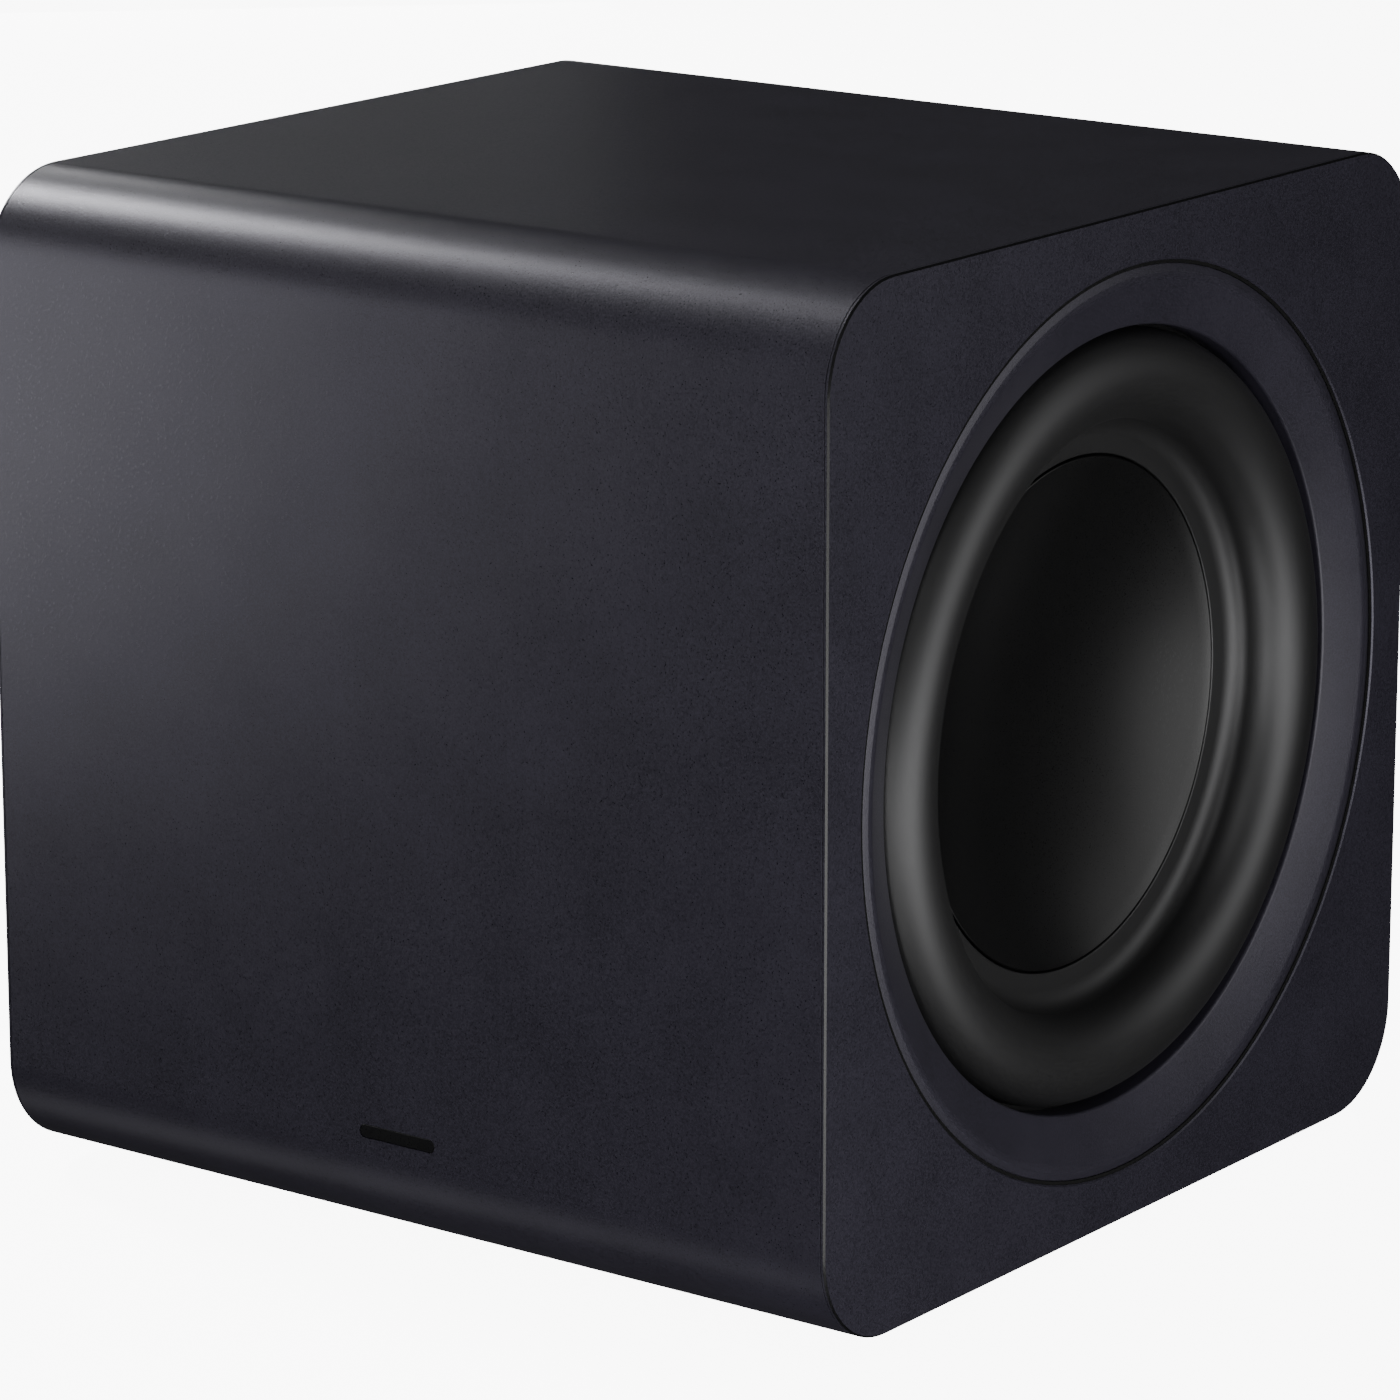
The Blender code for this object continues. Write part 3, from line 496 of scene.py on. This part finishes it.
def make_seam_shade_bead(side, sign):
    """Fine chamfer strip round the edge of a side panel, coloured black as painted shade of the
    seam behind it.
    """
    width = BEAD - BEAD_FIT
    bead = skin(f"seam_shade_bead_{side}", [panel_outline(sign, 0.0, width),
                                      panel_outline(sign, width, 0.0),
                                      panel_outline(sign, width, width)])
    shade(bead, weighted=True)
    # near-black material on the chamfer paints the shadow of the seam behind the panel's edge; its
    # gloss still gives the bright line along the front
    dress(bead, "badge_black")


def make_trim_ring(side, sign):
    """Bezel with a flat rim, a cone that falls inwards and a wall down to the rubber."""
    fine = 0.00022
    profile = rounded_path([
        (RING_RADIUS, 0.0008, 0.00025), (RING_RADIUS, 0.0059, fine), (0.1078, 0.0059, fine),
        (0.1078, 0.0030, fine), (0.1062, 0.0030, fine), (0.0972, 0.0066, fine),
        (0.0972, 0.0120, fine), (0.0950, 0.0120, fine), (0.0950, 0.0051, 0.0010),
        (0.1066, 0.0003, 0.0040), (0.1080, 0.0003, 0.0012)])
    ring = turned_x(f"bezel_{side}", profile, sign)
    shade(ring)
    dress(ring, "ring_paint", nodes=[f"trim_ring_{side}"])


def make_gap_shade_filler(side, sign):
    """Black filler deep in the gap between the trim ring and the panel: painted shade of that gap.
    """
    inner, outer = RING_RADIUS + BEAD_FIT, HOLE_RADIUS - BEAD_FIT
    top, foot = 0.0005, 0.0040
    seal = turned_x(f"gap_shade_filler_{side}", [(inner, top), (inner, foot), (outer, foot), (outer, top)],
                    sign)
    shade(seal, weighted=True)
    # near-black foam paints the shadow inside the gap
    dress(seal, "gasket_foam")


# ---------------------------------------------------------------- driver
# ROLL and FILLET are centres of arcs, as (radius, depth)
FLANGE_RADIUS = 0.0992
ROLL = (0.083, 0.012)
ROLL_RADIUS = 0.011
FILLET = (0.067, 0.012)
FILLET_RADIUS = 0.005
RUBBER = 0.0012
DISH_RADIUS = 0.0623
DISH_RIM = 0.017
DISH_SAG = 0.0154
DISH_THICKNESS = 0.0011


def flex(piece):
    """Bake the piece's placement into its mesh; the piece is not bent."""
    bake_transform(piece)


def make_surround(side, sign):
    """Rubber half roll between the fixed flange and the cone."""
    flange = ROLL[1] + GAP
    lip_radius = 0.0004
    inner_edge = DISH_RADIUS + 0.0005
    inner_depth = FILLET[1] + FILLET_RADIUS
    profile = [(FLANGE_RADIUS, flange)]
    profile += arc(ROLL, ROLL_RADIUS, 0, -180, 48)
    profile += arc(FILLET, FILLET_RADIUS, 4, 90, 16)
    profile += arc((inner_edge + lip_radius, inner_depth + lip_radius), lip_radius, -90, -180, 4)
    profile += [(inner_edge, inner_depth + RUBBER)]
    profile += arc(FILLET, FILLET_RADIUS + RUBBER, 90, 4, 12)
    profile += arc(ROLL, ROLL_RADIUS - RUBBER, -180, 0, 40)
    profile += [(ROLL[0] + ROLL_RADIUS - RUBBER, flange + RUBBER),
                (FLANGE_RADIUS, flange + RUBBER)]
    rubber = turned_x(f"rubber_roll_{side}", profile, sign)
    shade(rubber)
    dress(rubber, "black_rubber", body=None, nodes=[f"surround_{side}"])
    flex(rubber)


def dish_depth(radius):
    """Depth of the spherical dish at a radius."""
    sphere = (DISH_RADIUS ** 2 + DISH_SAG ** 2) / (2 * DISH_SAG)
    return DISH_RIM + DISH_SAG - (sphere - math.sqrt(sphere ** 2 - radius ** 2))


def make_dish(side, sign):
    """Concave centre of the cone, with a fine rounded rim."""
    rings, centre_share, rim_radius = 40, 0.004, 0.0004
    radii = [DISH_RADIUS * (centre_share + (1 - centre_share) * step / rings)
             for step in range(rings)]
    front = [(radius, dish_depth(radius)) for radius in radii]
    rim = arc((DISH_RADIUS - rim_radius, DISH_RIM + rim_radius), rim_radius, -80, 0, 4)
    back = [(radius, dish_depth(radius) + DISH_THICKNESS) for radius in reversed(radii)]
    dish = turned_x(f"cone_dish_{side}", front + rim + back, sign, steps=192, closed=False)
    shade(dish)
    dress(dish, "pressed_fibre", f"diaphragm_{side}", [f"dish_{side}"])


def make_spider(side, sign):
    """Corrugated cloth disc, glued to the basket outside and to the coil former inside."""
    inner, first_trough, last_trough, outer = 0.0264, 0.0310, 0.0550, 0.0640
    wave, middle_depth, wave_height, thickness = 0.0120, 0.05765, 0.00125, 0.0008
    steps = 30
    top = [(inner, middle_depth + wave_height)]
    for step in range(steps + 1):
        radius = first_trough + (last_trough - first_trough) * step / steps
        turn = math.tau * (radius - first_trough) / wave
        top.append((radius, middle_depth + wave_height * math.cos(turn)))
    top.append((outer, middle_depth + wave_height))
    under = [(radius, depth + thickness) for radius, depth in reversed(top)]
    spider = turned_x(f"cloth_spider_{side}", top + under, sign, steps=128)
    shade(spider)
    dress(spider, "spider_cloth", body=None, nodes=[f"spider_{side}"])
    flex(spider)


# ---------------------------------------------------------------- rear fittings
REAR_FACE = REAR_HIGH.y
REAR_INNER = REAR_FACE - REAR_THICKNESS
CLIP_Y = REAR_INNER - GAP  # retaining flanges of the inlet and the button stop here

# outlines are half width, half height and corner radius
INLET_HOUSING = (0.0120, 0.0070, 0.0030)
INLET_FLANGE = (0.0150, 0.0100, 0.0030)
INLET_CAVITY = (0.0085, 0.0044, 0.0044)
INLET_FLOOR = 0.1110

MOUTH = 0.0004
MOUTH_DEPTH = 0.0003
GROOVE_INSET = 0.0125
GROOVE_WIDTH = 0.0007
GROOVE_DEPTH = 0.0005
SCREW_HOLE = 0.0017
SCREW_SHANK = 0.0014
SCREW_SEAT = 0.0016
SCREW_HEAD = 0.0012
SCREW_RIM = 0.0003
BUTTON_RADIUS = 0.0032
BUTTON_HOLE = 0.0035
LIGHT_HOLE = 0.0018
POST_ROWS = (-0.045, -0.006, 0.006, 0.045)
POST_COLUMNS = (-0.056, 0.056)


def opening(size, bottom):
    """Cutter profile of one size up to the rear face, where a small chamfer opens it."""
    wide = grown(size, MOUTH)
    return [(*size, bottom), (*size, REAR_FACE - MOUTH_DEPTH), (*wide, REAR_FACE + PROUD),
            (*wide, REAR_FACE + OVERSHOOT)]


def groove_tool():
    """Frame-shaped cutter for the fine groove that runs round the rear panel."""
    outside = (*grown(REAR_HALF, -GROOVE_INSET), REAR_CORNER)
    inside = grown(outside, -GROOVE_WIDTH)
    frame_tool = lofted_y("tool_groove", [(*outside, REAR_FACE - GROOVE_DEPTH),
                                          (*outside, REAR_FACE + OVERSHOOT)], REAR_CENTRE)
    core = lofted_y("tool_core", [(*inside, REAR_FACE - OVERSHOOT),
                                  (*inside, REAR_FACE + 2 * OVERSHOOT)], REAR_CENTRE)
    apply_boolean(frame_tool, [core])
    return frame_tool


def make_rear_panel():
    """Flush plate with a soft edge, sunk screw seats, posts and openings for its fittings."""
    plate_outline = (*REAR_HALF, REAR_CORNER)
    edge = 0.0004
    sections = [(*plate_outline, REAR_INNER), (*plate_outline, REAR_FACE - edge)]
    for turn in quarter_turn(3)[1:]:
        inset = edge * (1 - math.cos(turn))
        sections.append((*grown(plate_outline, -inset), REAR_FACE - edge * (1 - math.sin(turn))))
    plate = lofted_y("back_plate", sections, REAR_CENTRE)
    through = REAR_INNER - OVERSHOOT
    tools = [groove_tool()]
    for low, high in REAR_SCREWS:
        seat = REAR_FACE - SCREW_SEAT
        head = (high.x - low.x) / 2 + GAP
        profile = [(SCREW_HOLE, through), (SCREW_HOLE, seat)] + opening((head,), seat)
        tools.append(turned_y("tool_screw", profile, centre_xz(low, high), 48))
    tools.append(lofted_y("tool_inlet", opening(grown(INLET_HOUSING, GAP), through),
                          centre_xz(INLET_LOW, INLET_HIGH)))
    for centre, radius in ((centre_xz(BUTTON_LOW, BUTTON_HIGH), BUTTON_HOLE),
                           (centre_xz(LIGHT_LOW, LIGHT_HIGH), LIGHT_HOLE)):
        tools.append(turned_y("tool_round", opening((radius,), through), centre, 48))
    post_tip, post_root, root_depth = 0.0028, 0.0030, 0.001
    posts = [turned_y("tool_post", [(post_tip, REAR_LOW.y), (post_root, REAR_INNER + root_depth)],
                      (x, REAR_CENTRE[1] + z), 24)
             for z in POST_ROWS for x in POST_COLUMNS]
    apply_boolean(plate, posts, "UNION")
    apply_boolean(plate, tools)
    shade(plate, weighted=True)
    dress(plate, "rear_plastic", nodes=["rear_panel"])


def make_inlet():
    """Socket housing with a soft mouth, and two round-tipped pins."""
    centre = centre_xz(INLET_LOW, INLET_HIGH)
    front = INLET_HIGH.y
    edge, rim, flange_thickness = 0.0004, 0.0005, 0.003
    housing = lofted_y("socket_housing", [
        (*INLET_HOUSING, INLET_LOW.y), (*INLET_HOUSING, front - edge),
        (*grown(INLET_HOUSING, -edge * EDGE_MIDDLE), front - edge * EDGE_MIDDLE),
        (*grown(INLET_HOUSING, -edge), front)], centre, 8)
    flange = lofted_y("tool_flange", [(*INLET_FLANGE, CLIP_Y - flange_thickness),
                                      (*INLET_FLANGE, CLIP_Y)], centre, 8)
    mouth = grown(INLET_CAVITY, rim)
    cavity = lofted_y("tool_cavity", [
        (*INLET_CAVITY, INLET_FLOOR), (*INLET_CAVITY, front - rim), (*mouth, front + PROUD),
        (*mouth, front + OVERSHOOT)], centre, 16)
    apply_boolean(housing, [flange], "UNION")
    apply_boolean(housing, [cavity])
    shade(housing, weighted=True)
    dress(housing, "rear_plastic", nodes=["power_inlet"])
    for index in (1, 2):
        low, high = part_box(f"inlet_pin_{index}")
        radius, tip_radius = (high.x - low.x) / 2, 0.00005
        profile = [(radius, low.y)]
        profile += [(max(radius * math.cos(turn), tip_radius),
                     high.y - radius + radius * math.sin(turn)) for turn in quarter_turn(8)]
        pin = turned_y(f"contact_pin_{index}", profile, centre_xz(low, high), 32)
        shade(pin)
        dress(pin, "nickel_pin", nodes=[f"inlet_pin_{index}"])


def make_screw(index):
    """Pan-head machine screw with a cross recess, turned differently on each screw."""
    low, high = REAR_SCREWS[index - 1]
    centre = centre_xz(low, high)
    head, top = (high.x - low.x) / 2, high.y
    rim = top - SCREW_HEAD + SCREW_RIM
    tip_radius, tip_length, crown = 0.0008, 0.0006, 0.0004
    profile = [(tip_radius, low.y), (SCREW_SHANK, low.y + tip_length),
               (SCREW_SHANK, top - SCREW_HEAD), (head, top - SCREW_HEAD), (head, rim)]
    profile += [(head * math.cos(turn), rim + (top - rim) * math.sin(turn))
                for turn in quarter_turn(8)[1:-1]]
    profile.append((crown, top))
    screw = turned_y(f"panel_screw_{index}", profile, centre, 48)
    half_length, half_width, depth, taper, above = 0.0016, 0.00035, 0.0009, 0.45, 0.001
    for turn in (index + 0.3, index + 0.3 + math.pi / 2):
        along = Vector((math.cos(turn), math.sin(turn)))
        across = Vector((-along.y, along.x)) * half_width
        loops = []
        for y, length in ((top - depth, half_length * taper), (top + above, half_length)):
            corners = [along * length + across, -along * length + across,
                       -along * length - across, along * length - across]
            loops.append([(centre[0] + c.x, y, centre[1] + c.y) for c in corners])
        apply_boolean(screw, [skin("tool_slot", loops, closed=False)])
    shade(screw)
    dress(screw, "black_steel", nodes=[f"rear_screw_{index}"])


def make_button():
    """Push button with a dished face, a retaining flange and a stem to its switch."""
    face, edge = BUTTON_HIGH.y, 0.0004
    stem_radius, flange_radius, flange_thickness = 0.0015, 0.0048, 0.0015
    profile = [(stem_radius, BUTTON_LOW.y), (stem_radius, CLIP_Y - flange_thickness),
               (flange_radius, CLIP_Y - flange_thickness), (flange_radius, CLIP_Y),
               (BUTTON_RADIUS, CLIP_Y), (BUTTON_RADIUS, face - edge)]
    profile += [(BUTTON_RADIUS - edge * (1 - math.cos(turn)), face - edge * (1 - math.sin(turn)))
                for turn in quarter_turn(4)[1:]]
    profile += [(0.0022, face - 0.0001), (0.0012, face - 0.00022), (0.0001, face - 0.00028)]
    button = turned_y("pairing_button", profile, centre_xz(BUTTON_LOW, BUTTON_HIGH))
    shade(button)
    dress(button, "rear_plastic", "pairing_button", ["pair_button"])


def make_status_light():
    """Status light: the end of a clear rod, slightly domed."""
    face, radius = LIGHT_HIGH.y, (LIGHT_HIGH.x - LIGHT_LOW.x) / 2
    profile = [(radius, LIGHT_LOW.y), (radius, face - 0.0004), (radius * 0.85, face - 0.00012),
               (radius * 0.5, face - 0.00003), (radius * 0.05, face)]
    lens = turned_y("status_lens", profile, centre_xz(LIGHT_LOW, LIGHT_HIGH), 48)
    shade(lens)
    dress(lens, "light_pipe", nodes=["status_light_pipe"])


# ---------------------------------------------------------------- feet
def make_foot(name):
    """Turned rubber foot with a soft edge and two grip grooves underneath."""
    low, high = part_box(name)
    radius = (high.x - low.x) / 2
    hub, groove, edge = 0.0001, 0.0006, 0.0002
    profile = [(hub, low.z)]
    for middle in (0.0030, 0.0060):
        profile += [(middle - groove, low.z), (middle - groove * 0.6, low.z + groove),
                    (middle + groove * 0.6, low.z + groove), (middle + groove, low.z)]
    profile += [(0.0082, low.z), (0.0088, low.z + 0.0001), (0.0093, low.z + 0.0004),
                (0.0095, low.z + 0.0009), (radius, high.z - edge), (radius - edge, high.z),
                (hub, high.z)]
    foot = turned_z(f"pad_{name}", profile, centre_xy(low, high))
    shade(foot)
    dress(foot, "black_rubber", nodes=[name])


# ---------------------------------------------------------------- CAD nodes that stay
def finish_cad_nodes():
    """Inner pieces keep their CAD shape; each takes its slot's procedural material."""
    slots = {entry["node"]: entry["material_slot"] for entry in frame["record"]["subparts"]}
    for name, obj in frame["nodes"].items():
        if obj.hide_render:
            continue
        obj.data.materials.clear()
        obj.data.materials.append(MATERIALS[slots[name]])


# ---------------------------------------------------------------- stage, camera and lights
CAMERA_PLACE = (0.9073, -1.2232, 0.5094)
CAMERA_AZIMUTH = math.radians(36.66)
CAMERA_ELEVATION = math.radians(14.51)
CAMERA_LENS = 162.5
CAMERA_REACH = 100.0
SENSOR_WIDTH = 36.0

FLOOR_REACH = 20.0
FLOOR_GREY = 0.80
FLOOR_GLOW = 8.6
SKY_SEEN = 10.0  # brightness of the background as the camera sees it
SKY_FILL = 0.03  # and as it lights the object
WHITE = (1.0, 1.0, 1.0, 1.0)

# name, azimuth and elevation in degrees as seen from the object, distance, width, height, watts
SOFTBOXES = (
    ("softbox_left", 216, 7, 0.65, 0.42, 0.42, 1.78),
    ("softbox_low_left", 220, -46, 0.90, 0.50, 0.22, 0.16),
    ("softbox_front", 293, -10, 0.70, 0.32, 0.28, 1.7),
    ("softbox_front_high", 300, 40, 0.45, 0.20, 0.20, 0.36),
    ("softbox_low_front", 300, -40, 0.60, 0.20, 0.20, 0.65),
    ("softbox_corner", 323, -14, 0.80, 0.20, 0.24, 0.75),
    ("softbox_front_right", 345, -12, 0.60, 0.30, 0.34, 1.25),
    ("softbox_low_right", 0, -30, 0.60, 0.25, 0.25, 0.25),
    ("softbox_right", 6, 4, 0.60, 0.30, 0.45, 0.78),
    ("softbox_back_right", 25, 25, 0.60, 0.30, 0.40, 0.37),
    ("softbox_above", 177, 40, 2.0, 0.32, 0.32, 33.0),
    ("softbox_back", 150, 26, 2.0, 0.40, 0.40, 4.0),
    ("softbox_low_back", 134, 0, 2.0, 0.40, 0.40, 1.2),
    ("softbox_rear", 103, -11, 0.80, 0.26, 0.24, 1.5),
)


def make_floor():
    """Pale glowing floor that casts nothing on the object and isn't mirrored in it."""
    mesh = bpy.data.meshes.new("floor")
    corners = [(-FLOOR_REACH, -FLOOR_REACH, 0), (FLOOR_REACH, -FLOOR_REACH, 0),
               (FLOOR_REACH, FLOOR_REACH, 0), (-FLOOR_REACH, FLOOR_REACH, 0)]
    mesh.from_pydata(corners, [], [(0, 1, 2, 3)])
    floor = add_object("floor", mesh)
    material, shader = new_material("floor")
    shader.inputs["Base Color"].default_value = (FLOOR_GREY, FLOOR_GREY, FLOOR_GREY, 1.0)
    shader.inputs["Roughness"].default_value = 0.9
    shader.inputs["Emission Color"].default_value = WHITE
    shader.inputs["Emission Strength"].default_value = FLOOR_GLOW
    mesh.materials.append(material)
    floor.visible_glossy = False
    floor.visible_diffuse = False
    floor.visible_shadow = False


def make_world():
    """White background: bright for the camera, faint as a light."""
    world = bpy.data.worlds.new("studio")
    bpy.context.scene.world = world
    world.use_nodes = True
    tree = world.node_tree
    background = tree.nodes["Background"]
    rays = tree.nodes.new("ShaderNodeLightPath")
    level = tree.nodes.new("ShaderNodeMix")
    level.inputs["A"].default_value = SKY_FILL
    level.inputs["B"].default_value = SKY_SEEN
    tree.links.new(rays.outputs["Is Camera Ray"], level.inputs["Factor"])
    tree.links.new(level.outputs["Result"], background.inputs["Strength"])
    background.inputs["Color"].default_value = WHITE


def make_camera():
    """Long lens, level from side to side and looking slightly down."""
    camera = bpy.data.cameras.new("camera")
    camera.sensor_width = SENSOR_WIDTH
    camera.lens = CAMERA_LENS
    camera.clip_end = CAMERA_REACH
    obj = add_object("camera", camera)
    obj.location = CAMERA_PLACE
    obj.rotation_euler = (math.pi / 2 - CAMERA_ELEVATION, 0.0, CAMERA_AZIMUTH)
    bpy.context.scene.camera = obj


def make_lights():
    """Softboxes round the object, each facing its middle."""
    middle = Vector((0.0, 0.0, AXIS_Z))
    for name, azimuth, elevation, distance, width, height, watts in SOFTBOXES:
        light = bpy.data.lights.new(name, "AREA")
        light.shape = "RECTANGLE"
        light.size = width
        light.size_y = height
        light.energy = watts
        around, up = math.radians(azimuth), math.radians(elevation)
        away = Vector((math.cos(around) * math.cos(up), math.sin(around) * math.cos(up),
                       math.sin(up)))
        obj = add_object(name, light)
        obj.location = middle + away * distance
        obj.rotation_euler = away.to_track_quat("Z", "Y").to_euler()
        obj.visible_camera = False


make_cabinet()
make_badge()
for side_name, side_sign in SIDES:
    make_side_panel(side_name, side_sign)
    make_seam_shade_bead(side_name, side_sign)
    make_trim_ring(side_name, side_sign)
    make_gap_shade_filler(side_name, side_sign)
    make_surround(side_name, side_sign)
    make_dish(side_name, side_sign)
    make_spider(side_name, side_sign)
make_rear_panel()
make_inlet()
for screw_index in range(1, len(REAR_SCREWS) + 1):
    make_screw(screw_index)
make_button()
make_status_light()
for foot_name in FEET:
    make_foot(foot_name)
finish_cad_nodes()
make_floor()
make_world()
make_camera()
make_lights()
